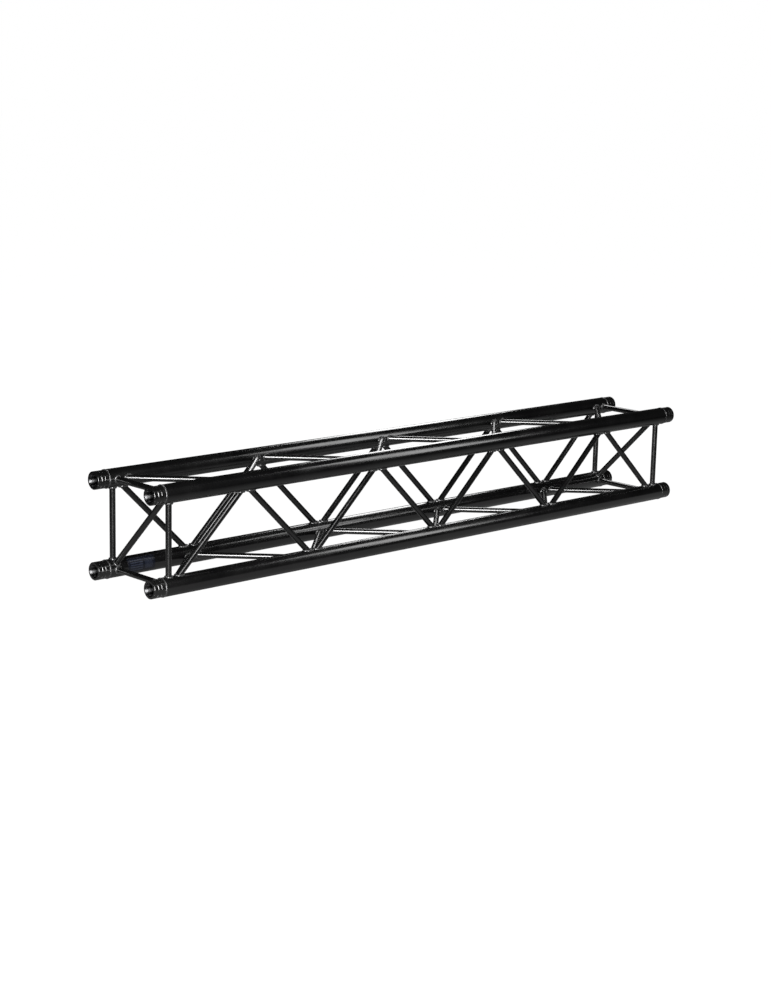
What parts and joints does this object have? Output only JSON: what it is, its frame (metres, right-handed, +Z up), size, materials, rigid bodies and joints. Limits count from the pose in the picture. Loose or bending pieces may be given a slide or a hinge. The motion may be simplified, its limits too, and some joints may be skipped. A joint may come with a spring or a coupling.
{
  "type": "lighting truss section",
  "caption": "Straight black square lighting truss: corner chord tubes, zigzag round braces on every face, cross-braced end frames and conical couplers in the chord ends.",
  "frame": {"origin": "under the middle of the section, on the plane that the two lower chords rest on", "axes": "+X along the chords towards the right end, -Y out of the front face, +Z up"},
  "size_m": [2, 0.289, 0.289],
  "materials": {
    "powder_coat": "satin black powder coat over welded aluminium tube",
    "coupler_coat": "semi-gloss black coat over turned aluminium, thin and rubbed bright along its edges",
    "label_film": "dark blue printed film with no lettering"
  },
  "bodies": {
    "root": {"chord_front_top": "powder_coat", "chord_front_bottom": "powder_coat", "chord_rear_top": "powder_coat", "chord_rear_bottom": "powder_coat", "coupler_left_front_top": "coupler_coat", "coupler_left_front_bottom": "coupler_coat", "coupler_left_rear_top": "coupler_coat", "coupler_left_rear_bottom": "coupler_coat", "coupler_right_front_top": "coupler_coat", "coupler_right_front_bottom": "coupler_coat", "coupler_right_rear_top": "coupler_coat", "coupler_right_rear_bottom": "coupler_coat", "diagonal_front_1": "powder_coat", "diagonal_front_2": "powder_coat", "diagonal_front_3": "powder_coat", "diagonal_front_4": "powder_coat", "diagonal_front_5": "powder_coat", "diagonal_front_6": "powder_coat", "diagonal_front_7": "powder_coat", "diagonal_front_8": "powder_coat", "diagonal_rear_1": "powder_coat", "diagonal_rear_2": "powder_coat", "diagonal_rear_3": "powder_coat", "diagonal_rear_4": "powder_coat", "diagonal_rear_5": "powder_coat", "diagonal_rear_6": "powder_coat", "diagonal_rear_7": "powder_coat", "diagonal_rear_8": "powder_coat", "diagonal_top_1": "powder_coat", "diagonal_top_2": "powder_coat", "diagonal_top_3": "powder_coat", "diagonal_top_4": "powder_coat", "diagonal_top_5": "powder_coat", "diagonal_top_6": "powder_coat", "diagonal_top_7": "powder_coat", "diagonal_top_8": "powder_coat", "diagonal_bottom_1": "powder_coat", "diagonal_bottom_2": "powder_coat", "diagonal_bottom_3": "powder_coat", "diagonal_bottom_4": "powder_coat", "diagonal_bottom_5": "powder_coat", "diagonal_bottom_6": "powder_coat", "diagonal_bottom_7": "powder_coat", "diagonal_bottom_8": "powder_coat", "end_post_front_left": "powder_coat", "end_post_front_right": "powder_coat", "end_post_rear_left": "powder_coat", "end_post_rear_right": "powder_coat", "end_bar_top_left": "powder_coat", "end_bar_top_right": "powder_coat", "end_bar_bottom_left": "powder_coat", "end_bar_bottom_right": "powder_coat", "end_diagonal_left": "powder_coat", "end_diagonal_right": "powder_coat", "identification_label": "label_film"}
  },
  "joints": []
}
